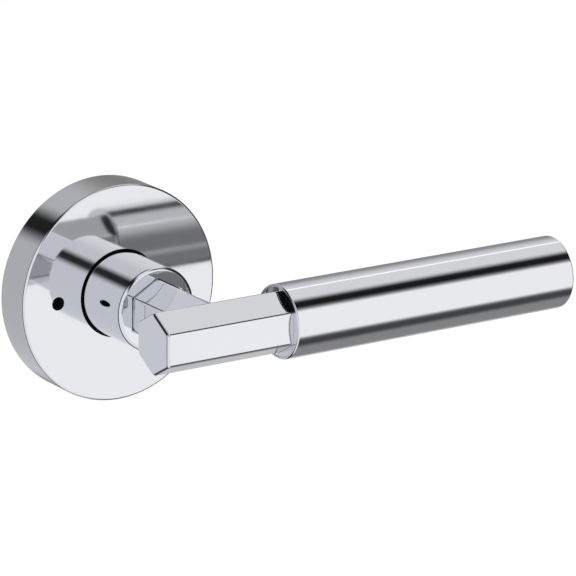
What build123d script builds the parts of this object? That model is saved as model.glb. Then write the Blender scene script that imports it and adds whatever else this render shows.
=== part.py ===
from build123d import *
import math
import os

# Lever door handle on a round rose, right-hand reach, with a push-pin privacy release.
#
# Frame, in millimetres: the origin is on the spindle axis at the door face. +Y goes into the door,
# -Y out towards the hand, +X along the lever and +Z up. Distances "out" are measured along -Y.

os.makedirs("parts", exist_ok=True)

# Rose, the round cover on the door
rose_r = 33.0
rose_depth = 12.8
rose_side_wall = 1.2
rose_face_wall = 1.4
rose_edge_round = 0.7
collar_hole_r = 13.45

# Back plate and the spring cage that stands on it
plate_r = 31.6
plate_thick = 2.6
plate_recess_r = 13.0
plate_recess_depth = 1.4
cage_inner_r = 16.0
cage_outer_r = 17.0
cage_top = 9.9
lid_thick = 0.6
lid_hole_r = 13.4
boss_pcd_r = 21.0
boss_r = 2.6
boss_angles = (45, 135, 225, 315)

# Hub, the round boss of the lever
hub_r = 12.85
hub_front = 33.6
hub_step = 9.8
hub_edge_round = 1.2
shank_r = 8.0
shank_flat = 7.4
shank_end = -2.0
running_gap = 0.05

# Hexagonal arm: a neck out of the hub and a bar across its end
hex_across_flats = 16.4
pocket_across_flats = 16.5
pocket_floor = 25.0
pocket_edge_round = 0.6
neck_foot = 25.2
arm_out = 62.0
bar_left = -19.2
bar_right = 62.0
hex_edge_round = 1.2
bar_end_round = 0.9

# Grip tube on the bar
tube_r = 11.1
tube_bore_r = 10.3
tube_left = 23.2
tube_right = 122.9
tube_edge_round = 0.5
tube_lip_round = 0.15
bush_r = 10.25
bush_length = 9.0
bush_hex_across_flats = 16.5
near_bush_left = 23.4
plug_length = 8.0

# Spindle and its fixings
spindle_side = 8.0
spindle_reach = 32.0
spindle_front = 18.6
socket_side = 8.1
socket_floor = 22.8
pin_r = 1.22
pin_hole_r = 1.25
pin_out = 5.4

# Mounting posts
post_spacing = 41.3
post_r = 3.5
post_reach = 15.0
post_tap_r = 1.65

# Return spring and the lugs between its legs
spring_r = 12.5
wire_r = 0.8
spring_low = 3.9
spring_turns = 2
spring_pitch = 1.9
leg_x = 2.2
leg_tip = 15.7
lug_half_width = 1.3
driver_low = 8.8
lever_swing = 45.0

# Privacy release, a push pin behind a small hole in the rose
release_x = -21.2
release_hole_r = 2.05
guide_r = 3.5
guide_flange_r = 4.1
guide_top = 11.3
guide_end = -6.0
chamber_r = 2.9
chamber_top = 8.6
plunger_r = 1.5

# Planes: DOOR looks out of the door, TURNING holds half profiles about the spindle axis, with the
# radius as x and the distance out as y
DOOR = Plane.XZ
TURNING = Plane(origin=(0, 0, 0), x_dir=(1, 0, 0), z_dir=(0, 0, -1))


def hex_radius(across_flats):
    """Corner radius of a regular hexagon."""
    return across_flats / math.sqrt(3)


def along_lever(x):
    """The plane across the lever at a distance along it, centred on the bar's axis."""
    return Plane(origin=(x, -arm_out, 0), x_dir=(0, 1, 0), z_dir=(1, 0, 0))


# ---------------------------------------------------------------- rose cover
# A turned cup: thin side wall, thin face, a hole for the hub and a small hole for the release.
snap_low = 0.6
snap_high = 2.0
with BuildPart() as rose_cover:
    with BuildSketch(DOOR):
        Circle(rose_r)
    extrude(amount=rose_depth)
    front_rim = rose_cover.edges().filter_by(GeomType.CIRCLE).sort_by(Axis.Y)[0]
    fillet(front_rim, rose_edge_round)
    with BuildSketch(DOOR):
        Circle(rose_r - rose_side_wall)
    extrude(amount=rose_depth - rose_face_wall, mode=Mode.SUBTRACT)
    with BuildSketch(DOOR):
        Circle(collar_hole_r)
        with Locations((release_x, 0)):
            Circle(release_hole_r)
    extrude(amount=rose_depth, mode=Mode.SUBTRACT)
    with BuildSketch(DOOR.offset(snap_low)):
        Circle(rose_r - rose_side_wall + 0.35)
        Circle(rose_r - rose_side_wall - 0.5, mode=Mode.SUBTRACT)
    extrude(amount=snap_high - snap_low, mode=Mode.SUBTRACT)
rose_cover.part.label = "rose_cover"
export_step(rose_cover.part, "parts/rose_cover.step")

# ---------------------------------------------------------------- back plate
# The plate lies on the door. Its round wall is the spring cage, with the fixed spring lug at the
# top and the stop block at the bottom.
lug_low = 14.9
stop_inner_r = 14.0
stop_half_width = 1.5
lug_top = 8.5
boss_hole_r = 1.25
boss_hole_depth = 6.0
with BuildPart() as back_plate:
    with BuildSketch(DOOR):
        Circle(plate_r)
    extrude(amount=plate_thick)
    with BuildSketch(DOOR.offset(plate_thick)):
        Circle(cage_outer_r)
        Circle(cage_inner_r, mode=Mode.SUBTRACT)
        for angle in boss_angles:
            with PolarLocations(boss_pcd_r, 1, start_angle=angle):
                Circle(boss_r)
    extrude(amount=cage_top - plate_thick)
    with BuildSketch(DOOR.offset(plate_thick)):
        with Locations((0, (lug_low + cage_inner_r + 0.4) / 2)):
            Rectangle(2 * lug_half_width, cage_inner_r + 0.4 - lug_low)
    extrude(amount=lug_top - plate_thick)
    with BuildSketch(DOOR.offset(plate_thick)):
        with Locations((0, -(stop_inner_r + cage_inner_r + 0.4) / 2)):
            Rectangle(2 * stop_half_width, cage_inner_r + 0.4 - stop_inner_r)
    extrude(amount=cage_top - plate_thick)
    with BuildSketch(DOOR):
        Circle(plate_recess_r)
    extrude(amount=plate_recess_depth, mode=Mode.SUBTRACT)
    with BuildSketch(DOOR):
        Circle(shank_r + running_gap)
        with Locations((0, post_spacing / 2), (0, -post_spacing / 2)):
            Circle(post_r + running_gap)
        with Locations((release_x, 0)):
            Circle(guide_r + running_gap)
    extrude(amount=plate_thick, mode=Mode.SUBTRACT)
    with BuildSketch(DOOR.offset(cage_top - boss_hole_depth)):
        for angle in boss_angles:
            with PolarLocations(boss_pcd_r, 1, start_angle=angle):
                Circle(boss_hole_r)
    extrude(amount=boss_hole_depth, mode=Mode.SUBTRACT)
    with BuildSketch(DOOR.offset(snap_low)):
        Circle(plate_r + 1)
        Circle(plate_r - 0.9, mode=Mode.SUBTRACT)
    extrude(amount=snap_high - snap_low, mode=Mode.SUBTRACT)
back_plate.part.label = "back_plate"
export_step(back_plate.part, "parts/back_plate.step")

# ---------------------------------------------------------------- cage lid
# A pressed ring with four ears over the screw bosses.
with BuildPart() as cage_lid:
    with BuildSketch(DOOR.offset(cage_top)):
        Circle(cage_outer_r)
        for angle in boss_angles:
            with PolarLocations(boss_pcd_r, 1, start_angle=angle):
                Circle(boss_r)
            with PolarLocations((boss_pcd_r + cage_inner_r) / 2, 1, start_angle=angle):
                Rectangle(boss_pcd_r - cage_inner_r, 2 * boss_r)
        for angle in boss_angles:
            with PolarLocations(boss_pcd_r, 1, start_angle=angle):
                Circle(boss_hole_r + running_gap, mode=Mode.SUBTRACT)
        Circle(lid_hole_r, mode=Mode.SUBTRACT)
    extrude(amount=lid_thick)
cage_lid.part.label = "cage_lid"
export_step(cage_lid.part, "parts/cage_lid.step")

# ---------------------------------------------------------------- lid screws
# Four pan-head screws, with crossed slots in their heads.
lid_top = cage_top + lid_thick
screw_head_high = 0.75
with BuildPart() as lid_screws:
    for angle in boss_angles:
        with BuildSketch(DOOR.offset(cage_top - boss_hole_depth + 0.5)):
            with PolarLocations(boss_pcd_r, 1, start_angle=angle):
                Circle(boss_hole_r - running_gap)
        extrude(amount=lid_thick + boss_hole_depth - 0.5)
        with BuildSketch(DOOR.offset(lid_top)):
            with PolarLocations(boss_pcd_r, 1, start_angle=angle):
                Circle(2.2)
        extrude(amount=screw_head_high)
        with BuildSketch(DOOR.offset(lid_top + screw_head_high - 0.4)):
            with PolarLocations(boss_pcd_r, 1, start_angle=angle):
                Rectangle(2.4, 0.5)
                Rectangle(0.5, 2.4)
        extrude(amount=0.5, mode=Mode.SUBTRACT)
lid_screws.part.label = "lid_screws"
export_step(lid_screws.part, "parts/lid_screws.step")

# ---------------------------------------------------------------- hub bush
# The nylon ring seen in the gap between the hub and the rose, with its flange behind the face.
bush_bore_r = hub_r + 0.07
bush_flange_top = rose_depth - rose_face_wall - 0.05
bush_lip_top = rose_depth - 0.9
with BuildPart() as hub_bush:
    with BuildSketch(TURNING):
        with BuildLine():
            Polyline(
                (bush_bore_r, lid_top),
                (cage_outer_r, lid_top),
                (cage_outer_r, bush_flange_top),
                (collar_hole_r - 0.1, bush_flange_top),
                (collar_hole_r - 0.1, bush_lip_top),
                (bush_bore_r, bush_lip_top),
                close=True,
            )
        make_face()
    revolve(axis=Axis.Y)
hub_bush.part.label = "hub_bush"
export_step(hub_bush.part, "parts/hub_bush.step")

# ---------------------------------------------------------------- mounting posts
# Two tapped posts through the plate into the door. The head has a flat against the cage wall.
post_head_r = 4.6
post_head_high = 1.2
post_head_flat = 3.5
for name, side in (("mounting_post_upper", 1), ("mounting_post_lower", -1)):
    post_z = side * post_spacing / 2
    head_cut = post_head_r - post_head_flat
    with BuildPart() as post:
        with BuildSketch(DOOR.offset(-post_reach)):
            with Locations((0, post_z)):
                Circle(post_r)
        extrude(amount=post_reach + plate_thick)
        tip = post.edges().filter_by(GeomType.CIRCLE).sort_by(Axis.Y)[-1]
        chamfer(tip, 0.5)
        with BuildSketch(DOOR.offset(plate_thick)):
            with Locations((0, post_z)):
                Circle(post_head_r)
            with Locations((0, post_z - side * (post_head_flat + head_cut))):
                Rectangle(2 * post_head_r, 2 * head_cut, mode=Mode.SUBTRACT)
        extrude(amount=post_head_high)
        with BuildSketch(DOOR.offset(-post_reach)):
            with Locations((0, post_z)):
                Circle(post_tap_r)
        extrude(amount=post_reach - 1.0, mode=Mode.SUBTRACT)
    post.part.label = name
    export_step(post.part, "parts/" + name + ".step")

# ---------------------------------------------------------------- snap ring
# An open wire ring that holds the cover on the plate.
with BuildPart() as snap_ring:
    with BuildSketch(TURNING):
        with Locations((plate_r - 0.15, (snap_low + snap_high) / 2)):
            Circle(0.6)
    revolve(axis=Axis.Y, revolution_arc=335)
snap_ring.part.label = "snap_ring"
export_step(snap_ring.part, "parts/snap_ring.step")

# ---------------------------------------------------------------- return spring
# A torsion coil round the hub's shank. Both legs stand up beside the lugs, one on each side.
leg_angle = math.degrees(math.acos(leg_x / spring_r))
first_angle = 180 - leg_angle
coil_sweep = 360 * spring_turns - (first_angle - leg_angle)
coil_high = spring_pitch * coil_sweep / 360
leg_z = math.sqrt(spring_r**2 - leg_x**2)
with BuildPart() as return_spring:
    with BuildLine() as coil_path:
        coil = Helix(
            pitch=spring_pitch,
            height=coil_high,
            radius=spring_r,
            center=(0, -spring_low, 0),
            direction=(0, -1, 0),
            mode=Mode.PRIVATE,
        )
        # A helix starts at the bottom, so it is turned until its start is at the left-hand leg.
        add(coil.rotate(Axis.Y, -90 - first_angle))
    with BuildSketch(Plane(origin=coil_path.line @ 0, z_dir=coil_path.line % 0)):
        Circle(wire_r)
    sweep()
    for leg_side, leg_out in ((-1, spring_low), (1, spring_low + coil_high)):
        with Locations((leg_side * leg_x, -leg_out, leg_z)):
            Sphere(wire_r)
        with BuildSketch(Plane(origin=(leg_side * leg_x, -leg_out, leg_z))):
            Circle(wire_r)
        extrude(amount=leg_tip - leg_z)
return_spring.part.label = "return_spring"
export_step(return_spring.part, "parts/return_spring.step")

# ---------------------------------------------------------------- release guide
# A flanged sleeve behind the release hole, with a chamber for the plunger's collar and spring.
cap_high = 1.2
with BuildPart() as release_guide:
    with BuildSketch(DOOR.offset(guide_end)):
        with Locations((release_x, 0)):
            Circle(guide_r)
    extrude(amount=guide_top - guide_end)
    with BuildSketch(DOOR.offset(plate_thick)):
        with Locations((release_x, 0)):
            Circle(guide_flange_r)
    extrude(amount=0.8)
    with BuildSketch(DOOR.offset(guide_end)):
        with Locations((release_x, 0)):
            Circle(chamber_r)
    extrude(amount=chamber_top - guide_end, mode=Mode.SUBTRACT)
    with BuildSketch(DOOR.offset(chamber_top - 1)):
        with Locations((release_x, 0)):
            Circle(plunger_r + running_gap)
    extrude(amount=guide_top - chamber_top + 1, mode=Mode.SUBTRACT)
release_guide.part.label = "release_guide"
export_step(release_guide.part, "parts/release_guide.step")

# ---------------------------------------------------------------- release cap
# A ring pressed into the guide's open end. The spring stands on it.
stem_r = 1.2
with BuildPart() as release_cap:
    with BuildSketch(DOOR.offset(guide_end)):
        with Locations((release_x, 0)):
            Circle(chamber_r - 0.02)
            Circle(stem_r + running_gap, mode=Mode.SUBTRACT)
    extrude(amount=cap_high)
release_cap.part.label = "release_cap"
export_step(release_cap.part, "parts/release_cap.step")

# ---------------------------------------------------------------- release plunger
# Stepped pin: a round head under the hole, a collar in the chamber and a stem into the door.
collar_r = 2.75
collar_low = 7.4
collar_high = 8.4
plunger_head = 9.9
stem_end = -11.0
release_travel = 5.0
with BuildPart() as release_plunger:
    with BuildSketch(DOOR.offset(stem_end)):
        with Locations((release_x, 0)):
            Circle(stem_r)
    extrude(amount=collar_low - stem_end)
    stem_tip = release_plunger.edges().filter_by(GeomType.CIRCLE).sort_by(Axis.Y)[-1]
    chamfer(stem_tip, 0.4)
    with BuildSketch(DOOR.offset(collar_low)):
        with Locations((release_x, 0)):
            Circle(collar_r)
    extrude(amount=collar_high - collar_low)
    with BuildSketch(DOOR.offset(collar_high)):
        with Locations((release_x, 0)):
            Circle(plunger_r)
    extrude(amount=plunger_head - collar_high)
release_plunger.part.label = "release_plunger"
export_step(release_plunger.part, "parts/release_plunger.step")

# ---------------------------------------------------------------- release spring
# A compression coil round the stem, between the cap and the collar.
release_wire_r = 0.3
release_coil_r = 2.1
release_low = guide_end + cap_high + release_wire_r + 0.02
release_high = collar_low - release_wire_r - 0.02
release_turns = 6
with BuildPart() as release_spring:
    with BuildLine() as release_path:
        Helix(
            pitch=(release_high - release_low) / release_turns,
            height=release_high - release_low,
            radius=release_coil_r,
            center=(release_x, -release_low, 0),
            direction=(0, -1, 0),
        )
    with BuildSketch(Plane(origin=release_path.line @ 0, z_dir=release_path.line % 0)):
        Circle(release_wire_r)
    sweep()
release_spring.part.label = "release_spring"
export_step(release_spring.part, "parts/release_spring.step")

# ---------------------------------------------------------------- hub
# A turned boss with a shank through the plate. The front has the hexagonal pocket for the arm,
# the back a square socket for the spindle, and a web with a screw hole lies between them.
ring_groove_low = 0.1
ring_groove_high = 0.78
ring_groove_r = 7.3
with BuildPart() as hub:
    with BuildSketch(TURNING):
        with BuildLine():
            Polyline(
                (0, shank_end),
                (shank_r, shank_end),
                (shank_r, ring_groove_low),
                (ring_groove_r, ring_groove_low),
                (ring_groove_r, ring_groove_high),
                (shank_r, ring_groove_high),
                (shank_r, hub_step),
                (hub_r, hub_step),
                (hub_r, hub_front),
                (0, hub_front),
                close=True,
            )
        make_face()
    revolve(axis=Axis.Y)
    hub_front_rim = hub.edges().filter_by(GeomType.CIRCLE).sort_by(Axis.Y)[0]
    fillet(hub_front_rim, hub_edge_round)
    for side in (-1, 1):
        with BuildSketch(DOOR.offset(shank_end)):
            with Locations((0, side * (shank_flat + 1))):
                Rectangle(2 * shank_r, 2)
        extrude(amount=hub_step - shank_end, mode=Mode.SUBTRACT)
    with BuildSketch(DOOR.offset(pocket_floor)):
        RegularPolygon(hex_radius(pocket_across_flats), 6, rotation=90)
    extrude(amount=hub_front - pocket_floor, mode=Mode.SUBTRACT)
    pocket_mouth = hub.faces().sort_by(Axis.Y)[0].edges().filter_by(GeomType.LINE)
    fillet(pocket_mouth, pocket_edge_round)
    with BuildSketch(DOOR.offset(shank_end)):
        Rectangle(socket_side, socket_side)
    extrude(amount=socket_floor - shank_end, mode=Mode.SUBTRACT)
    with BuildSketch(DOOR.offset(socket_floor)):
        Circle(2.2)
    extrude(amount=pocket_floor - socket_floor, mode=Mode.SUBTRACT)
    with BuildSketch(Plane(origin=(0, -pin_out, -shank_r))):
        Circle(pin_hole_r)
    extrude(amount=2 * shank_r, mode=Mode.SUBTRACT)
hub.part.label = "hub"
export_step(hub.part, "parts/hub.step")

# ---------------------------------------------------------------- hexagonal arm
# One casting: the neck stands in the hub's pocket and meets the bar in a T, so the bar's short
# end passes the neck on the left and its long end runs on into the grip tube.
arm_tap_r = 2.0
arm_tap_depth = 12.8
with BuildPart() as hex_arm:
    with BuildSketch(along_lever(bar_left)):
        RegularPolygon(hex_radius(hex_across_flats), 6, rotation=90)
        fillet(vertices(), hex_edge_round)
    extrude(amount=bar_right - bar_left)
    bar_end = hex_arm.faces().sort_by(Axis.X)[0]
    fillet(bar_end.edges(), bar_end_round)
    with BuildSketch(DOOR.offset(neck_foot)):
        RegularPolygon(hex_radius(hex_across_flats), 6, rotation=90)
        fillet(vertices(), hex_edge_round)
    extrude(amount=arm_out - neck_foot)
    with BuildSketch(DOOR.offset(neck_foot)):
        Circle(arm_tap_r)
    extrude(amount=arm_tap_depth, mode=Mode.SUBTRACT)
hex_arm.part.label = "hex_arm"
export_step(hex_arm.part, "parts/hex_arm.step")

# ---------------------------------------------------------------- arm screw
# A cap screw from the spindle socket into the neck, with its head in the socket.
arm_head_low = 18.9
arm_head_high = 22.7
with BuildPart() as arm_screw:
    with BuildSketch(DOOR.offset(arm_head_low)):
        Circle(3.5)
    extrude(amount=arm_head_high - arm_head_low)
    with BuildSketch(DOOR.offset(arm_head_high)):
        Circle(arm_tap_r - running_gap)
    extrude(amount=neck_foot + arm_tap_depth - 0.8 - arm_head_high)
    with BuildSketch(DOOR.offset(arm_head_low)):
        RegularPolygon(hex_radius(3.0), 6)
    extrude(amount=2.2, mode=Mode.SUBTRACT)
arm_screw.part.label = "arm_screw"
export_step(arm_screw.part, "parts/arm_screw.step")

# ---------------------------------------------------------------- spindle
# Square bar from the hub's socket through the latch, cross-drilled for its pin.
with BuildPart() as spindle:
    with BuildSketch(DOOR.offset(-spindle_reach)):
        Rectangle(spindle_side, spindle_side)
    extrude(amount=spindle_reach + spindle_front)
    spindle_tip = spindle.faces().sort_by(Axis.Y)[-1]
    chamfer(spindle_tip.edges(), 0.8)
    with BuildSketch(Plane(origin=(0, -pin_out, -spindle_side))):
        Circle(pin_hole_r)
    extrude(amount=2 * spindle_side, mode=Mode.SUBTRACT)
spindle.part.label = "spindle"
export_step(spindle.part, "parts/spindle.step")

# ---------------------------------------------------------------- spindle pin
with BuildPart() as spindle_pin:
    with BuildSketch(Plane(origin=(0, -pin_out, -shank_flat + 0.1))):
        Circle(pin_r)
    extrude(amount=2 * (shank_flat - 0.1))
    chamfer(spindle_pin.edges().filter_by(GeomType.CIRCLE), 0.25)
spindle_pin.part.label = "spindle_pin"
export_step(spindle_pin.part, "parts/spindle_pin.step")

# ---------------------------------------------------------------- spring driver
# A disc keyed on the shank's flats. Its lug stands between the spring's legs, and its rim is cut
# away round the stop block as far as the lever swings each way.
driver_r = 15.5
notch_inner_r = 13.7
notch_half = lever_swing + math.degrees(math.asin(stop_half_width / stop_inner_r)) + 0.5
lug_bottom = 13.6
driver_lug_top = 14.6
with BuildPart() as spring_driver:
    with BuildSketch(DOOR.offset(driver_low)):
        Circle(driver_r)
        with BuildSketch(mode=Mode.PRIVATE) as keyed_hole:
            Circle(shank_r + running_gap)
            Rectangle(4 * shank_r, 2 * (shank_flat + running_gap), mode=Mode.INTERSECT)
        add(keyed_hole.sketch, mode=Mode.SUBTRACT)
    extrude(amount=hub_step - driver_low)
    with BuildSketch(DOOR.offset(driver_low)):
        with BuildLine():
            low_left = -90 - notch_half
            inner = CenterArc((0, 0), notch_inner_r, low_left, 2 * notch_half)
            outer = CenterArc((0, 0), driver_r + 1, low_left, 2 * notch_half)
            Line(inner @ 0, outer @ 0)
            Line(inner @ 1, outer @ 1)
        make_face()
    extrude(amount=hub_step - driver_low, mode=Mode.SUBTRACT)
    with BuildSketch(DOOR.offset(spring_low - wire_r)):
        with Locations((0, (lug_bottom + driver_lug_top) / 2)):
            Rectangle(2 * lug_half_width, driver_lug_top - lug_bottom)
    extrude(amount=driver_low - spring_low + wire_r)
spring_driver.part.label = "spring_driver"
export_step(spring_driver.part, "parts/spring_driver.step")

# ---------------------------------------------------------------- thrust washer
washer_low = 0.8
washer_high = 1.35
with BuildPart() as thrust_washer:
    with BuildSketch(DOOR.offset(washer_low)):
        Circle(12.0)
        Circle(shank_r + running_gap, mode=Mode.SUBTRACT)
    extrude(amount=washer_high - washer_low)
thrust_washer.part.label = "thrust_washer"
export_step(thrust_washer.part, "parts/thrust_washer.step")

# ---------------------------------------------------------------- retaining ring
# An open circlip in the shank's groove, with two drilled ears at its gap.
ring_low = 0.13
ring_high = 0.75
ring_outer_r = 9.6
ear_angle = 32
with BuildPart() as retaining_ring:
    with BuildSketch(DOOR.offset(ring_low)):
        Circle(ring_outer_r)
        for angle in (-90 - ear_angle, -90 + ear_angle):
            with PolarLocations(ring_outer_r, 1, start_angle=angle):
                Circle(1.7)
        Circle(ring_groove_r + running_gap, mode=Mode.SUBTRACT)
        for angle in (-90 - ear_angle, -90 + ear_angle):
            with PolarLocations(ring_outer_r + 0.1, 1, start_angle=angle):
                Circle(0.7, mode=Mode.SUBTRACT)
        with Locations((0, -ring_outer_r)):
            Rectangle(6.0, 8.0, mode=Mode.SUBTRACT)
    extrude(amount=ring_high - ring_low)
retaining_ring.part.label = "retaining_ring"
export_step(retaining_ring.part, "parts/retaining_ring.step")

# ---------------------------------------------------------------- grip tube
# Thin round tube, open over the bar at the hub end and closed by a plug at the far end.
with BuildPart() as grip_tube:
    with BuildSketch(along_lever(tube_left)):
        Circle(tube_r)
    extrude(amount=tube_right - tube_left)
    tube_rims = grip_tube.edges().filter_by(GeomType.CIRCLE)
    fillet(tube_rims, tube_edge_round)
    with BuildSketch(along_lever(tube_left)):
        Circle(tube_bore_r)
    extrude(amount=tube_right - tube_left, mode=Mode.SUBTRACT)
    tube_lips = grip_tube.edges().filter_by(GeomType.CIRCLE).filter_by(
        lambda edge: abs(edge.radius - tube_bore_r) < 0.01
    )
    fillet(tube_lips, tube_lip_round)
grip_tube.part.label = "grip_tube"
export_step(grip_tube.part, "parts/grip_tube.step")

# ---------------------------------------------------------------- grip bushes
# Two sleeves, round outside and hexagonal inside, that centre the tube on the bar. The near one
# closes the tube's mouth just behind its rim.
far_bush_left = bar_right - bush_length
for name, left in (("grip_bush_near", near_bush_left), ("grip_bush_far", far_bush_left)):
    with BuildPart() as grip_bush:
        with BuildSketch(along_lever(left)):
            Circle(bush_r)
            with BuildSketch(along_lever(left), mode=Mode.PRIVATE) as bar_hole:
                RegularPolygon(hex_radius(bush_hex_across_flats), 6, rotation=90)
                fillet(vertices(), hex_edge_round)
            add(bar_hole.sketch_local, mode=Mode.SUBTRACT)
        extrude(amount=bush_length)
    grip_bush.part.label = name
    export_step(grip_bush.part, "parts/" + name + ".step")

# ---------------------------------------------------------------- grip end plug
# A cup pressed into the far end, its face just inside the tube's rim.
plug_face = 2.5
plug_inset = 0.15
plug_wall = 1.8
with BuildPart() as grip_end_plug:
    with BuildSketch(along_lever(tube_right - plug_length)):
        Circle(bush_r)
    extrude(amount=plug_length - plug_inset)
    plug_rim = grip_end_plug.edges().filter_by(GeomType.CIRCLE).sort_by(Axis.X)[-1]
    chamfer(plug_rim, 0.15)
    with BuildSketch(along_lever(tube_right - plug_length)):
        Circle(bush_r - plug_wall)
    extrude(amount=plug_length - plug_inset - plug_face, mode=Mode.SUBTRACT)
grip_end_plug.part.label = "grip_end_plug"
export_step(grip_end_plug.part, "parts/grip_end_plug.step")
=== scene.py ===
import math

import bpy
from mathutils import Matrix, Vector


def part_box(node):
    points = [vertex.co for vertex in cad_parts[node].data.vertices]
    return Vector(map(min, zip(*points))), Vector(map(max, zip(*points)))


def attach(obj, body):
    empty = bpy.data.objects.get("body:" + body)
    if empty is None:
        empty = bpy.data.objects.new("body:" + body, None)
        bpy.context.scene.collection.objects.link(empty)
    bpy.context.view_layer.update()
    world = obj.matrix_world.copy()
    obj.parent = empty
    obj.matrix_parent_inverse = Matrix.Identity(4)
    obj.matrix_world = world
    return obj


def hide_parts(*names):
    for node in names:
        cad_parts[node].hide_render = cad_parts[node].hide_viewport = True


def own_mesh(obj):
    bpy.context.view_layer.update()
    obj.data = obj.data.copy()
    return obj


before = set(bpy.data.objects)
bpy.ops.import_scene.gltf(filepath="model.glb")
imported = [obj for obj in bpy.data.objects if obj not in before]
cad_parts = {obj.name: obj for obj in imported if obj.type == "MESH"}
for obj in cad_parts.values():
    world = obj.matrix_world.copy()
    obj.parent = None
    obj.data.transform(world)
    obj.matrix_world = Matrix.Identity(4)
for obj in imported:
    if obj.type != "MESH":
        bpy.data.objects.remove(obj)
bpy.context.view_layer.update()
mm = 0.001

# ---- Rose cover
# The round cover against the door: a turned brass cup, chrome plated and mirror polished all over,
# with painted shade on its side: a darker chrome colour there. It has a hole for the hub and a small
# one for the release pin.


def only(piece):
    """Leaves one piece selected and active."""
    bpy.ops.object.select_all(action="DESELECT")
    piece.select_set(True)
    bpy.context.view_layer.objects.active = piece


def turned(name, outline, centre, axis, steps):
    """A turned piece: a plane is merged to a point, drawn out from corner to corner, and spun."""
    bpy.ops.object.select_all(action="DESELECT")
    bpy.ops.mesh.primitive_plane_add(size=mm)
    piece = bpy.context.object
    piece.name = name
    bpy.ops.object.mode_set(mode="EDIT")
    bpy.ops.mesh.select_mode(type="VERT")
    bpy.ops.mesh.select_all(action="SELECT")
    bpy.ops.mesh.merge(type="CENTER")
    bpy.ops.transform.translate(value=outline[0])
    for here, there in zip(outline, outline[1:]):
        step = Vector(there) - Vector(here)
        bpy.ops.mesh.extrude_vertices_move(TRANSFORM_OT_translate={"value": step})
    bpy.ops.mesh.select_all(action="SELECT")
    bpy.ops.mesh.spin(steps=steps, angle=2 * math.pi, center=centre, axis=axis)
    bpy.ops.mesh.select_all(action="SELECT")
    bpy.ops.mesh.remove_doubles(threshold=0.002 * mm)
    bpy.ops.mesh.normals_make_consistent(inside=False)
    bpy.ops.object.mode_set(mode="OBJECT")
    return piece


def round_edges(piece, wanted, size, segments):
    """Rounds the edges whose two ends are both wanted."""
    only(piece)
    bpy.ops.object.mode_set(mode="EDIT")
    bpy.ops.mesh.select_mode(type="EDGE")
    bpy.ops.mesh.select_all(action="DESELECT")
    bpy.ops.object.mode_set(mode="OBJECT")
    for edge in piece.data.edges:
        ends = [piece.data.vertices[i].co for i in edge.vertices]
        edge.select = wanted(ends[0], ends[1])
    bpy.ops.object.mode_set(mode="EDIT")
    bpy.ops.mesh.bevel(offset=size, segments=segments, affect="EDGES", clamp_overlap=False)
    bpy.ops.mesh.select_all(action="SELECT")
    bpy.ops.mesh.remove_doubles(threshold=0.002 * mm)
    bpy.ops.object.mode_set(mode="OBJECT")


def cut(piece, tool):
    """Cuts the tool's shape out of the piece, and throws the tool away."""
    only(piece)
    hole = piece.modifiers.new("hole", "BOOLEAN")
    hole.operation = "DIFFERENCE"
    hole.solver = "EXACT"
    hole.object = tool
    bpy.ops.object.modifier_apply(modifier=hole.name)
    bpy.data.objects.remove(tool)


def rod(sides, radius, start, end, turn=0.0):
    """A straight rod between two points, round or with a few flats, used whole or as a tool."""
    start = Vector(start)
    along = Vector(end) - start
    bpy.ops.object.select_all(action="DESELECT")
    bpy.ops.mesh.primitive_cylinder_add(vertices=sides, radius=radius, depth=along.length)
    piece = bpy.context.object
    lie = along.to_track_quat("Z", "Y").to_matrix().to_4x4()
    piece.matrix_world = Matrix.Translation(start + along / 2) @ lie @ Matrix.Rotation(turn, 4, "Z")
    bpy.ops.object.transform_apply(location=True, rotation=True, scale=True)
    return piece


def shade(piece):
    """Smooth shading that keeps the flats flat and the sharp corners sharp."""
    only(piece)
    bpy.ops.object.shade_smooth_by_angle(angle=math.radians(30))
    flats = piece.modifiers.new("flats", "WEIGHTED_NORMAL")
    flats.keep_sharp = True
    bpy.ops.object.modifier_apply(modifier=flats.name)


rose_low, rose_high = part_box("rose_cover")
rose_r = rose_high.x
rose_depth = -rose_low.y
side_wall = 1.2 * mm
face_wall = 1.4 * mm
rose_inside_r = rose_r - side_wall
rose_inside = rose_depth - face_wall
groove_r = rose_inside_r + 0.35 * mm
groove_low = 0.6 * mm
groove_high = 2.0 * mm
rose_edge = 0.7 * mm
collar_hole_r = 13.45 * mm
collar_hole_edge = 0.12 * mm
release_low, release_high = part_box("release_guide")
release_x = (release_low.x + release_high.x) / 2
release_hole_r = 2.05 * mm
spindle_axis = (0, 1, 0)
fine_steps = 240

rose = turned(
    "rose_cover_polished",
    [
        (collar_hole_r, -rose_inside, 0),
        (collar_hole_r, -rose_depth, 0),
        (rose_r, -rose_depth, 0),
        (rose_r, 0, 0),
        (rose_inside_r, 0, 0),
        (rose_inside_r, -groove_low, 0),
        (groove_r, -groove_low, 0),
        (groove_r, -groove_high, 0),
        (rose_inside_r, -groove_high, 0),
        (rose_inside_r, -rose_inside, 0),
        (collar_hole_r, -rose_inside, 0),
    ],
    (0, 0, 0),
    spindle_axis,
    fine_steps,
)


def rim(radius, out):
    """Picks the edges of one round rim about the spindle."""

    def at(place):
        reach = math.hypot(place.x, place.z)
        return abs(reach - radius) < 0.02 * mm and abs(place.y + out) < 0.02 * mm

    return lambda a, b: at(a) and at(b)


round_edges(rose, rim(rose_r, rose_depth), rose_edge, 8)
round_edges(rose, rim(collar_hole_r, rose_depth), collar_hole_edge, 3)
before_face = (release_x, -rose_depth - mm, 0)
behind_face = (release_x, -rose_inside + mm, 0)
cut(rose, rod(64, release_hole_r, before_face, behind_face))
shade(rose)


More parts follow.
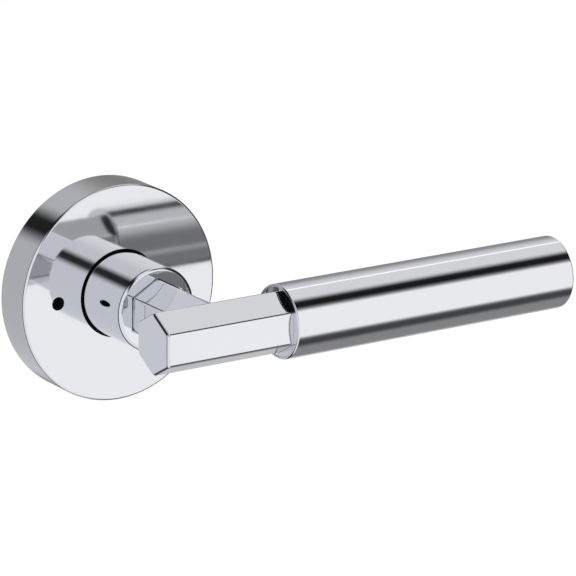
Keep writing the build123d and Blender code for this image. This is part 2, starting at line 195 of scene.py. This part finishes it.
def group(name, inputs, outputs):
    """A node group with named inputs and outputs."""
    tree = bpy.data.node_groups.new(name, "ShaderNodeTree")
    for label, kind, value in inputs:
        socket = tree.interface.new_socket(label, in_out="INPUT", socket_type=kind)
        if value is not None:
            socket.default_value = value
    for label, kind in outputs:
        tree.interface.new_socket(label, in_out="OUTPUT", socket_type=kind)
    tree.nodes.new("NodeGroupInput")
    tree.nodes.new("NodeGroupOutput")
    return tree


def node(tree, kind, **settings):
    """Adds a node. Settings are its own options, and names with a capital are its inputs."""
    made = tree.nodes.new(kind)
    for label, value in settings.items():
        if label[0].isupper():
            made.inputs[label.replace("_", " ")].default_value = value
        else:
            setattr(made, label, value)
    return made


# Buffing: the faint lines and clouds that polishing leaves. It gives a roughness, and a height for
# a Bump node.
number = "NodeSocketFloat"
buffing = group(
    "buffing",
    [
        ("Place", "NodeSocketVector", None),
        ("Line Scale", number, 900.0),
        ("Cloud Scale", number, 60.0),
        ("Shine", number, 0.03),
        ("Haze", number, 0.06),
    ],
    [("Roughness", number), ("Height", number)],
)
given = buffing.nodes["Group Input"]
result = buffing.nodes["Group Output"]
lines = node(buffing, "ShaderNodeTexNoise", Detail=3.0, Roughness=0.7)
clouds = node(buffing, "ShaderNodeTexNoise", Detail=4.0, Roughness=0.6)
spread = node(buffing, "ShaderNodeMapRange")
fine = node(buffing, "ShaderNodeMath", operation="MULTIPLY_ADD")
buffing.links.new(given.outputs["Place"], lines.inputs["Vector"])
buffing.links.new(given.outputs["Line Scale"], lines.inputs["Scale"])
buffing.links.new(given.outputs["Place"], clouds.inputs["Vector"])
buffing.links.new(given.outputs["Cloud Scale"], clouds.inputs["Scale"])
buffing.links.new(clouds.outputs[0], spread.inputs["Value"])
spread.inputs["From Min"].default_value = 0.3
spread.inputs["From Max"].default_value = 0.7
buffing.links.new(given.outputs["Shine"], spread.inputs["To Min"])
buffing.links.new(given.outputs["Haze"], spread.inputs["To Max"])
buffing.links.new(lines.outputs[0], fine.inputs[0])
line_share = 0.012
fine.inputs[1].default_value = line_share
buffing.links.new(spread.outputs[0], fine.inputs[2])
buffing.links.new(fine.outputs[0], result.inputs["Roughness"])
buffing.links.new(lines.outputs[0], result.inputs["Height"])

# Turning lines: gives the place to buff at on a turned piece, so that the lines run round it. Near
# is the distance from the axis, and Along the distance along it.
turning = group(
    "turning_lines",
    [("Across", number, 0.0), ("Up", number, 0.0), ("Along", number, 0.0), ("Drag", number, 0.02)],
    [("Place", "NodeSocketVector"), ("Near", number)],
)
given = turning.nodes["Group Input"]
result = turning.nodes["Group Output"]
flat = node(turning, "ShaderNodeCombineXYZ")
length = node(turning, "ShaderNodeVectorMath", operation="LENGTH")
angle = node(turning, "ShaderNodeMath", operation="ARCTAN2")
dragged = node(turning, "ShaderNodeMath", operation="MULTIPLY")
place = node(turning, "ShaderNodeCombineXYZ")
turning.links.new(given.outputs["Across"], flat.inputs["X"])
turning.links.new(given.outputs["Up"], flat.inputs["Y"])
turning.links.new(flat.outputs[0], length.inputs[0])
turning.links.new(given.outputs["Up"], angle.inputs[0])
turning.links.new(given.outputs["Across"], angle.inputs[1])
turning.links.new(angle.outputs[0], dragged.inputs[0])
turning.links.new(given.outputs["Drag"], dragged.inputs[1])
turning.links.new(length.outputs["Value"], place.inputs["X"])
turning.links.new(given.outputs["Along"], place.inputs["Y"])
turning.links.new(dragged.outputs[0], place.inputs["Z"])
turning.links.new(place.outputs[0], result.inputs["Place"])
turning.links.new(length.outputs["Value"], result.inputs["Near"])

chrome_colour = (0.70, 0.70, 0.708, 1)


def plated(name, turned_about, colour, shine, haze, line_depth):
    """Chrome plate with buffing lines, round the spindle ("Y"), round the grip ("X"), or straight."""
    finish = bpy.data.materials.new(name)
    finish.use_nodes = True
    tree = finish.node_tree
    surface = tree.nodes["Principled BSDF"]
    surface.inputs["Base Color"].default_value = colour
    surface.inputs["Metallic"].default_value = 1.0
    where = node(tree, "ShaderNodeTexCoord")
    buffed = node(tree, "ShaderNodeGroup", node_tree=buffing, Shine=shine, Haze=haze)
    if turned_about == "straight":
        drawn = node(tree, "ShaderNodeMapping", Scale=(0.05, 1.0, 1.0))
        tree.links.new(where.outputs["Object"], drawn.inputs["Vector"])
        tree.links.new(drawn.outputs[0], buffed.inputs["Place"])
    else:
        centred = node(tree, "ShaderNodeMapping")
        parts = node(tree, "ShaderNodeSeparateXYZ")
        lathe = node(tree, "ShaderNodeGroup", node_tree=turning, name="lathe")
        tree.links.new(where.outputs["Object"], centred.inputs["Vector"])
        tree.links.new(centred.outputs[0], parts.inputs[0])
        if turned_about == "Y":
            tree.links.new(parts.outputs["X"], lathe.inputs["Across"])
            tree.links.new(parts.outputs["Y"], lathe.inputs["Along"])
        else:
            centred.inputs["Location"].default_value = (0, arm_out, 0)
            tree.links.new(parts.outputs["Y"], lathe.inputs["Across"])
            tree.links.new(parts.outputs["X"], lathe.inputs["Along"])
        tree.links.new(parts.outputs["Z"], lathe.inputs["Up"])
        tree.links.new(lathe.outputs["Place"], buffed.inputs["Place"])
    tree.links.new(buffed.outputs["Roughness"], surface.inputs["Roughness"])
    bump = node(tree, "ShaderNodeBump", Strength=line_depth, Distance=0.01 * mm)
    tree.links.new(buffed.outputs["Height"], bump.inputs["Height"])
    tree.links.new(bump.outputs[0], surface.inputs["Normal"])
    return finish


def dress(piece, finish):
    """Gives the whole piece one finish."""
    piece.data.materials.clear()
    piece.data.materials.append(finish)


rose_chrome = plated("rose_chrome", "Y", chrome_colour, 0.045, 0.075, 0.05)
tree = rose_chrome.node_tree
# Painted shade: from here out to the rim the side gets a darker base colour, standing in for the
# shade its side would reflect.
side_shade_start = rose_r - 0.15 * mm
side_shade_full = rose_r - 0.02 * mm
side_shade_colour = (0.51, 0.503, 0.488, 1)
side_shade_mask = node(tree, "ShaderNodeMapRange")
side_shade_mask.inputs["From Min"].default_value = side_shade_start
side_shade_mask.inputs["From Max"].default_value = side_shade_full
face_and_side_shade = node(tree, "ShaderNodeMix", data_type="RGBA")
face_and_side_shade.inputs[6].default_value = chrome_colour
face_and_side_shade.inputs[7].default_value = side_shade_colour
tree.links.new(tree.nodes["lathe"].outputs["Near"], side_shade_mask.inputs["Value"])
tree.links.new(side_shade_mask.outputs[0], face_and_side_shade.inputs["Factor"])
tree.links.new(face_and_side_shade.outputs[2], tree.nodes["Principled BSDF"].inputs["Base Color"])
dress(rose, rose_chrome)
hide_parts("rose_cover")
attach(rose, "rose")

# ---- Hub
# The lever's round boss and its shank, one solid turning in chrome-plated brass. The arm stands in
# the hexagonal pocket at its front, and the spindle in the square socket at its back.
hub_low, hub_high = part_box("hub")
hub_r = hub_high.x
hub_front = -hub_low.y
shank_end = -hub_high.y
hub_step = 9.8 * mm
shank_r = 8.0 * mm
shank_flat = 7.4 * mm
ring_groove_r = 7.3 * mm
ring_groove_low = 0.1 * mm
ring_groove_high = 0.78 * mm
hub_edge = 1.2 * mm
root3 = math.sqrt(3)
pocket_r = 16.5 * mm / root3
pocket_floor = 25.0 * mm
pocket_edge = 0.6 * mm
socket_side = 8.1 * mm
socket_floor = 22.8 * mm
web_hole_r = 2.2 * mm
pin_hole_r = 1.25 * mm
pin_out = 5.4 * mm

hub = turned(
    "hub_polished",
    [
        (0, -shank_end, 0),
        (shank_r, -shank_end, 0),
        (shank_r, -ring_groove_low, 0),
        (ring_groove_r, -ring_groove_low, 0),
        (ring_groove_r, -ring_groove_high, 0),
        (shank_r, -ring_groove_high, 0),
        (shank_r, -hub_step, 0),
        (hub_r, -hub_step, 0),
        (hub_r, -hub_front, 0),
        (0, -hub_front, 0),
    ],
    (0, 0, 0),
    spindle_axis,
    fine_steps,
)
round_edges(hub, rim(hub_r, hub_front), hub_edge, 14)
cut(hub, rod(6, pocket_r, (0, -pocket_floor, 0), (0, -hub_front - mm, 0)))


def pocket_mouth(a, b):
    """Picks the six edges of the pocket's mouth."""
    level = abs(a.y + hub_front) < 0.01 * mm and abs(b.y + hub_front) < 0.01 * mm
    inside = math.hypot(a.x, a.z) < pocket_r * 1.01 and math.hypot(b.x, b.z) < pocket_r * 1.01
    return level and inside


round_edges(hub, pocket_mouth, pocket_edge, 8)
socket_r = socket_side / math.sqrt(2)
cut(hub, rod(4, socket_r, (0, -shank_end + mm, 0), (0, -socket_floor, 0), math.radians(45)))
cut(hub, rod(32, web_hole_r, (0, -socket_floor + mm, 0), (0, -pocket_floor - mm, 0)))
cut(hub, rod(32, pin_hole_r, (0, -pin_out, -hub_r), (0, -pin_out, hub_r)))
for side in (-1, 1):
    bpy.ops.object.select_all(action="DESELECT")
    bpy.ops.mesh.primitive_cube_add(size=1)
    file_off = bpy.context.object
    reach = hub_step - shank_end
    file_off.scale = (2 * hub_r, reach, 2 * mm)
    file_off.location = (0, -(hub_step + shank_end) / 2, side * (shank_flat + mm))
    bpy.ops.object.transform_apply(location=True, rotation=True, scale=True)
    cut(hub, file_off)
shade(hub)
lever_colour = (0.70, 0.704, 0.714, 1)
hub_chrome = plated("hub_chrome", "Y", lever_colour, 0.03, 0.05, 0.04)
dress(hub, hub_chrome)
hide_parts("hub")
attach(hub, "lever")

# ---- Hexagonal arm
# One chrome-plated casting: a hexagonal neck out of the hub, and a hexagonal bar across its end
# that passes the neck on the left and runs on into the grip tube on the right.
arm_low, arm_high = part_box("hex_arm")
tube_low, tube_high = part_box("grip_tube")
arm_out = -(tube_low.y + tube_high.y) / 2
bar_left = arm_low.x
bar_right = arm_high.x
neck_foot = -arm_high.y
across_flats = -2 * (arm_low.y + arm_out)
arm_corner_r = across_flats / root3
long_edge = 1.2 * mm
end_edge = 0.9 * mm
# An edge between two flats of a hexagon turns by 60 degrees, so its bevel starts this far back.
long_setback = long_edge * math.tan(math.radians(30))
arm_screw_r = 2.0 * mm
arm_screw_depth = 12.8 * mm

bar = rod(6, arm_corner_r, (bar_left, -arm_out, 0), (bar_right, -arm_out, 0))
bar.name = "hex_arm_polished"


def spans(a, b, axis):
    """Says whether an edge runs along an axis."""
    return abs(a[axis] - b[axis]) > mm


round_edges(bar, lambda a, b: spans(a, b, 0), long_setback, 8)


def left_end(a, b):
    """Picks the outline of the bar's left end."""
    return abs(a.x - bar_left) < 0.01 * mm and abs(b.x - bar_left) < 0.01 * mm


round_edges(bar, left_end, end_edge, 8)
neck = rod(6, arm_corner_r, (0, -neck_foot, 0), (0, -arm_out, 0))
round_edges(neck, lambda a, b: spans(a, b, 1), long_setback, 8)
only(bar)
joined = bar.modifiers.new("casting", "BOOLEAN")
joined.operation = "UNION"
joined.solver = "EXACT"
joined.object = neck
bpy.ops.object.modifier_apply(modifier=joined.name)
bpy.data.objects.remove(neck)
cut(bar, rod(32, arm_screw_r, (0, -neck_foot + mm, 0), (0, -neck_foot - arm_screw_depth, 0)))
shade(bar)
arm_chrome = plated("arm_chrome", "straight", lever_colour, 0.03, 0.05, 0.03)
dress(bar, arm_chrome)
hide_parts("hex_arm")
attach(bar, "lever")

# ---- Grip tube
# A thin round tube, chrome plated inside and out, pushed over the bar. Its rims are rounded outside
# and just broken inside.
tube_r = (tube_high.y - tube_low.y) / 2
tube_left = tube_low.x
tube_right = tube_high.x
tube_bore_r = 10.3 * mm
tube_edge = 0.5 * mm
tube_lip = 0.15 * mm
grip = turned(
    "grip_tube_polished",
    [
        (tube_left, -arm_out, tube_bore_r),
        (tube_left, -arm_out, tube_r),
        (tube_right, -arm_out, tube_r),
        (tube_right, -arm_out, tube_bore_r),
        (tube_left, -arm_out, tube_bore_r),
    ],
    (0, -arm_out, 0),
    (1, 0, 0),
    fine_steps,
)


def tube_rim(radius):
    """Picks the rims of the tube that have a radius, at both ends."""

    def at(place):
        reach = math.hypot(place.y + arm_out, place.z)
        end = min(abs(place.x - tube_left), abs(place.x - tube_right))
        return abs(reach - radius) < 0.02 * mm and end < 0.02 * mm

    return lambda a, b: at(a) and at(b) and abs(a.x - b.x) < mm


round_edges(grip, tube_rim(tube_r), tube_edge, 8)
round_edges(grip, tube_rim(tube_bore_r), tube_lip, 4)
shade(grip)
grip_chrome = plated("grip_chrome", "X", chrome_colour, 0.025, 0.045, 0.03)
dress(grip, grip_chrome)
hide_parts("grip_tube")
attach(grip, "lever")

# ---- Near bush and end plug of the grip
# The near bush is a chrome-plated collar that closes the tube's mouth round the bar. The plug is a
# plated cup pressed into the far end.


def paint(names, finish):
    """Gives a finish to parts that keep the shape they have in the frame."""
    for name in names:
        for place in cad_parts[name].material_slots:
            place.material = finish


paint(("grip_bush_near", "grip_end_plug"), grip_chrome)

# ---- Black nylon bushes
# Moulded bushes: a ring round the hub behind the rose's face, and a sleeve deep in the grip.
nylon = bpy.data.materials.new("black_nylon")
nylon.use_nodes = True
tree = nylon.node_tree
surface = tree.nodes["Principled BSDF"]
surface.inputs["Specular IOR Level"].default_value = 0.1
where = node(tree, "ShaderNodeTexCoord")
grain = node(tree, "ShaderNodeTexNoise", Scale=4000.0, Detail=2.0)
shades = node(tree, "ShaderNodeValToRGB")
shades.color_ramp.elements[0].color = (0.002, 0.002, 0.002, 1)
shades.color_ramp.elements[1].color = (0.006, 0.006, 0.007, 1)
matt = node(tree, "ShaderNodeMapRange", To_Min=0.6, To_Max=0.85)
bump = node(tree, "ShaderNodeBump", Strength=0.2, Distance=0.02 * mm)
tree.links.new(where.outputs["Object"], grain.inputs["Vector"])
tree.links.new(grain.outputs[0], shades.inputs[0])
tree.links.new(shades.outputs[0], surface.inputs["Base Color"])
tree.links.new(grain.outputs[0], matt.inputs["Value"])
tree.links.new(matt.outputs[0], surface.inputs["Roughness"])
tree.links.new(grain.outputs[0], bump.inputs["Height"])
tree.links.new(bump.outputs[0], surface.inputs["Normal"])
paint(("hub_bush", "grip_bush_far"), nylon)

# ---- Release pin, guide and cap
# Small turned parts behind the hole in the rose: black oxide, and painted near black so that the hole
# looks dark, partly painted shade.
black_and_shade = nylon.copy()
black_and_shade.name = "black_oxide_painted_shade"
tree = black_and_shade.node_tree
surface = tree.nodes["Principled BSDF"]
surface.inputs["Specular IOR Level"].default_value = 0.05
paint(("release_guide", "release_cap", "release_plunger"), black_and_shade)

# ---- Back plate, cage lid and other pressed steel
# Pressed in steel sheet and zinc plated: a grey with darker and lighter crystals, worn bright on
# its edges.
rubbed = group(
    "rubbed_edges",
    [("Reach", number, 0.3 * mm), ("Wear", number, 1.0)],
    [("Edge", number)],
)
given = rubbed.nodes["Group Input"]
result = rubbed.nodes["Group Output"]
rounded = node(rubbed, "ShaderNodeBevel", samples=4)
straight = node(rubbed, "ShaderNodeNewGeometry")
agree = node(rubbed, "ShaderNodeVectorMath", operation="DOT_PRODUCT")
worn = node(rubbed, "ShaderNodeMapRange", From_Min=0.995, From_Max=0.9)
amount = node(rubbed, "ShaderNodeMath", operation="MULTIPLY")
rubbed.links.new(given.outputs["Reach"], rounded.inputs["Radius"])
rubbed.links.new(rounded.outputs[0], agree.inputs[0])
rubbed.links.new(straight.outputs["Normal"], agree.inputs[1])
rubbed.links.new(agree.outputs["Value"], worn.inputs["Value"])
rubbed.links.new(worn.outputs[0], amount.inputs[0])
rubbed.links.new(given.outputs["Wear"], amount.inputs[1])
rubbed.links.new(amount.outputs[0], result.inputs["Edge"])


def bare_metal(name, dark, light, bright, crystal, stretch, shine, haze):
    """Unpolished metal: mottled from dark to light, buffed lines, and bright on its edges."""
    finish = bpy.data.materials.new(name)
    finish.use_nodes = True
    tree = finish.node_tree
    surface = tree.nodes["Principled BSDF"]
    surface.inputs["Metallic"].default_value = 1.0
    where = node(tree, "ShaderNodeTexCoord")
    drawn = node(tree, "ShaderNodeMapping", Scale=stretch)
    crystals = node(tree, "ShaderNodeTexVoronoi", Scale=crystal)
    mottle = node(tree, "ShaderNodeMix", data_type="RGBA")
    mottle.inputs[6].default_value = dark
    mottle.inputs[7].default_value = light
    edges = node(tree, "ShaderNodeGroup", node_tree=rubbed, Wear=0.7)
    wear = node(tree, "ShaderNodeMix", data_type="RGBA")
    wear.inputs[7].default_value = bright
    buffed = node(tree, "ShaderNodeGroup", node_tree=buffing, Shine=shine, Haze=haze)
    buffed.inputs["Line Scale"].default_value = 2500.0
    buffed.inputs["Cloud Scale"].default_value = 250.0
    bump = node(tree, "ShaderNodeBump", Strength=0.25, Distance=0.02 * mm)
    tree.links.new(where.outputs["Object"], drawn.inputs["Vector"])
    tree.links.new(drawn.outputs[0], crystals.inputs["Vector"])
    tree.links.new(crystals.outputs["Color"], mottle.inputs["Factor"])
    tree.links.new(mottle.outputs[2], wear.inputs[6])
    tree.links.new(edges.outputs["Edge"], wear.inputs["Factor"])
    tree.links.new(wear.outputs[2], surface.inputs["Base Color"])
    tree.links.new(drawn.outputs[0], buffed.inputs["Place"])
    tree.links.new(buffed.outputs["Roughness"], surface.inputs["Roughness"])
    tree.links.new(buffed.outputs["Height"], bump.inputs["Height"])
    tree.links.new(bump.outputs[0], surface.inputs["Normal"])
    return finish


zinc = bare_metal(
    "zinc_plate",
    (0.42, 0.43, 0.44, 1),
    (0.56, 0.57, 0.57, 1),
    (0.75, 0.75, 0.74, 1),
    700.0,
    (1, 1, 1),
    0.28,
    0.42,
)
paint(("back_plate", "cage_lid", "spring_driver", "thrust_washer"), zinc)

# ---- Spindle and mounting posts
# Drawn steel bar, zinc plated: fine lines run along it, into the door.
drawn_steel = bare_metal(
    "drawn_steel",
    (0.40, 0.40, 0.41, 1),
    (0.50, 0.50, 0.50, 1),
    (0.72, 0.72, 0.72, 1),
    900.0,
    (1, 0.06, 1),
    0.22,
    0.34,
)
paint(("spindle", "mounting_post_upper", "mounting_post_lower"), drawn_steel)

# ---- Springs, rings and pins
# Hard bright spring steel, oiled: darker than the plate, mottled with a little brown.
spring_steel = bare_metal(
    "spring_steel",
    (0.20, 0.19, 0.18, 1),
    (0.32, 0.32, 0.33, 1),
    (0.55, 0.55, 0.55, 1),
    1200.0,
    (1, 1, 1),
    0.2,
    0.3,
)
paint(("return_spring", "snap_ring", "retaining_ring", "spindle_pin"), spring_steel)

# ---- Release spring
# A coil of thin wire round the release pin's stem: a small ring, screwed along the stem. It stands
# on the cap at the door's end.
coil_low, coil_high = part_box("release_spring")
wire_r = 0.3 * mm
coil_r = (coil_high.x - coil_low.x) / 2 - wire_r
coil_turns = 6
coil_length = coil_high.y - coil_low.y - 2 * wire_r
bpy.ops.object.select_all(action="DESELECT")
bpy.ops.mesh.primitive_circle_add(vertices=16, radius=wire_r)
coil = bpy.context.object
coil.name = "release_spring_coil"
bpy.ops.object.mode_set(mode="EDIT")
bpy.ops.mesh.select_all(action="SELECT")
bpy.ops.transform.translate(value=(coil_r, 0, 0))
bpy.ops.object.mode_set(mode="OBJECT")
wound = coil.modifiers.new("wound", "SCREW")
wound.axis = "Y"
wound.iterations = coil_turns
wound.screw_offset = -coil_length / coil_turns
wound.steps = 24
wound.render_steps = 24
bpy.ops.object.modifier_apply(modifier=wound.name)
coil.location = (release_x, coil_high.y - wire_r, 0)
bpy.ops.object.transform_apply(location=True, rotation=True, scale=True)
bpy.ops.object.mode_set(mode="EDIT")
bpy.ops.mesh.select_mode(type="VERT")
bpy.ops.mesh.select_all(action="SELECT")
bpy.ops.mesh.fill_holes(sides=0)
bpy.ops.mesh.normals_make_consistent(inside=False)
bpy.ops.object.mode_set(mode="OBJECT")
shade(coil)
dress(coil, spring_steel)
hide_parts("release_spring")
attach(coil, "rose")
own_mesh(coil)

# ---- Screws
# Four lid screws and the arm's cap screw, zinc plated with a faint yellow passivation.
screw_zinc = bare_metal(
    "screw_zinc",
    (0.42, 0.40, 0.34, 1),
    (0.58, 0.56, 0.50, 1),
    (0.75, 0.74, 0.70, 1),
    1500.0,
    (1, 1, 1),
    0.25,
    0.4,
)
paint(("lid_screws", "arm_screw"), screw_zinc)

# ---- Camera
# A long lens from the front left and a little above, level but for a slight lean.
camera_data = bpy.data.cameras.new("camera")
camera_data.lens = 241.5
camera_data.sensor_width = 36.0
camera_data.clip_start = 0.01
camera_data.clip_end = 50.0
camera = bpy.data.objects.new("camera", camera_data)
bpy.context.scene.collection.objects.link(camera)
turn = Matrix.Rotation(math.radians(-33.916), 4, "Z")
tip = Matrix.Rotation(math.radians(90 - 16.30), 4, "X")
lean = Matrix.Rotation(math.radians(0.592), 4, "Z")
camera.matrix_world = Matrix.Translation((-0.5707, -0.9506, 0.3228)) @ turn @ tip @ lean
bpy.context.scene.camera = camera
bpy.context.scene.view_settings.view_transform = "Standard"
# Light goes on between the polished faces for many bounces.
bpy.context.scene.cycles.max_bounces = 16
bpy.context.scene.cycles.glossy_bounces = 12

# ---- Floor
# A plain pale floor well below the handle. It's kept out of the chrome's reflections.
floor_down = -0.45
bpy.ops.object.select_all(action="DESELECT")
bpy.ops.mesh.primitive_plane_add(size=8, location=(0, 0, floor_down))
floor = bpy.context.object
floor.name = "floor"
floor.visible_glossy = False
pale = bpy.data.materials.new("pale_floor")
pale.use_nodes = True
surface = pale.node_tree.nodes["Principled BSDF"]
surface.inputs["Base Color"].default_value = (0.97, 0.97, 0.97, 1)
surface.inputs["Roughness"].default_value = 0.9
surface.inputs["Specular IOR Level"].default_value = 0.0
dress(floor, pale)

# ---- Studio
# Soft white light all round. What the chrome sees is a light tent with grey gaps between its
# panels: one set of panels to the right of the handle, one to its left.
studio = bpy.data.worlds.new("studio")
bpy.context.scene.world = studio
studio.use_nodes = True
tree = studio.node_tree
tree.nodes.clear()
where = node(tree, "ShaderNodeTexCoord")
toward = node(tree, "ShaderNodeSeparateXYZ")
tree.links.new(where.outputs["Generated"], toward.inputs[0])


def soft_step(start, end, first, last):
    """Goes smoothly from a first to a last value, between two places along a direction."""
    step = node(tree, "ShaderNodeMapRange", interpolation_type="SMOOTHSTEP")
    step.inputs["From Min"].default_value = start
    step.inputs["From Max"].default_value = end
    step.inputs["To Min"].default_value = first
    step.inputs["To Max"].default_value = last
    return step


def combined(operation, first, second=0.0):
    """One sum of one or two values, each a socket or a plain number."""
    joint = node(tree, "ShaderNodeMath", operation=operation)
    for socket, value in zip(joint.inputs, (first, second)):
        if isinstance(value, (int, float)):
            socket.default_value = value
        else:
            tree.links.new(value, socket)
    return joint.outputs[0]


def band(value, centre, half, soft, outside, inside):
    """One value inside a band and another outside it, with soft edges."""
    aside = combined("SUBTRACT", value, centre)
    far = combined("ABSOLUTE", aside)
    edge = soft_step(half, half + soft, inside, outside)
    tree.links.new(far, edge.inputs["Value"])
    return edge.outputs[0]


def tent_light(level, even, panels, gaps):
    """Even light with panels added and gaps taken out, by the angle up from a level direction.

    Each panel or gap is its middle, half its width and its soft edge in degrees, and its light."""
    ahead = combined("MULTIPLY", toward.outputs[level], -1.0)
    turned = combined("ARCTAN2", toward.outputs["Z"], ahead)
    angle = combined("MULTIPLY", turned, math.degrees(1))
    total = even
    for middle, half, soft, more in panels:
        total = combined("ADD", total, band(angle, middle, half, soft, 0.0, more))
    for middle, half, soft, left_over in gaps:
        total = combined("MULTIPLY", total, band(angle, middle, half, soft, 1.0, left_over))
    return total


# To the right: a big white panel in front, a black gap above it, a softer overhead panel with a thin
# strip light at its back, a dark gap below the front panel, and a low strip behind.
front_panel = (0, 35, 15, 0.85)
overhead_panel = (100, 20, 50, 0.6)
overhead_strip = (120, 1, 3, 0.5)
low_strip = (-140, 2, 12, 0.3)
black_gap = (60, 5, 20, 0.02)
low_gap = (-60, 4, 20, 0.25)
right_side = tent_light(
    "Y", 0.3, (front_panel, overhead_panel, overhead_strip, low_strip), (black_gap, low_gap)
)
# To the left: even light with one black gap.
left_side = tent_light("X", 0.75, (), ((60, 5, 20, 0.03),))
# A broad dark gap between the left-hand panels in front of the door and those behind it. The ones in
# front are a third stronger.
door_gap = band(toward.outputs["Y"], 0.34, 0.12, 0.24, 1.0, 0.04)
front = soft_step(0.3, -0.3, 1.0, 1.33)
tree.links.new(toward.outputs["Y"], front.inputs["Value"])
left_side = combined("MULTIPLY", left_side, combined("MULTIPLY", door_gap, front.outputs[0]))
# The right-hand panels end in a dark curtain, straight along the lever.
curtain = soft_step(0.62, 0.80, 1.0, 0.06)
tree.links.new(toward.outputs["X"], curtain.inputs["Value"])
right_side = combined("MULTIPLY", right_side, curtain.outputs[0])


def tinted(brightness, tint):
    """A brightness as a slightly tinted light."""
    lamp = node(tree, "ShaderNodeVectorMath", operation="SCALE")
    lamp.inputs[0].default_value = tint
    tree.links.new(brightness, lamp.inputs["Scale"])
    return lamp.outputs[0]


side = soft_step(0.45, 0.15, 0.0, 1.0)
tent = node(tree, "ShaderNodeMix", data_type="RGBA")
tree.links.new(toward.outputs["X"], side.inputs["Value"])
tree.links.new(side.outputs[0], tent.inputs["Factor"])
tree.links.new(tinted(right_side, (1.0, 1.01, 1.04)), tent.inputs[6])
tree.links.new(tinted(left_side, (1.0, 1.03, 1.12)), tent.inputs[7])
ray = node(tree, "ShaderNodeLightPath")
light = node(tree, "ShaderNodeMix", data_type="RGBA")
light.inputs[6].default_value = (1.05, 1.05, 1.05, 1)
tree.links.new(ray.outputs["Is Glossy Ray"], light.inputs["Factor"])
tree.links.new(tent.outputs[2], light.inputs[7])
shine = node(tree, "ShaderNodeBackground")
sky = node(tree, "ShaderNodeOutputWorld")
tree.links.new(light.outputs[2], shine.inputs["Color"])
tree.links.new(shine.outputs[0], sky.inputs["Surface"])
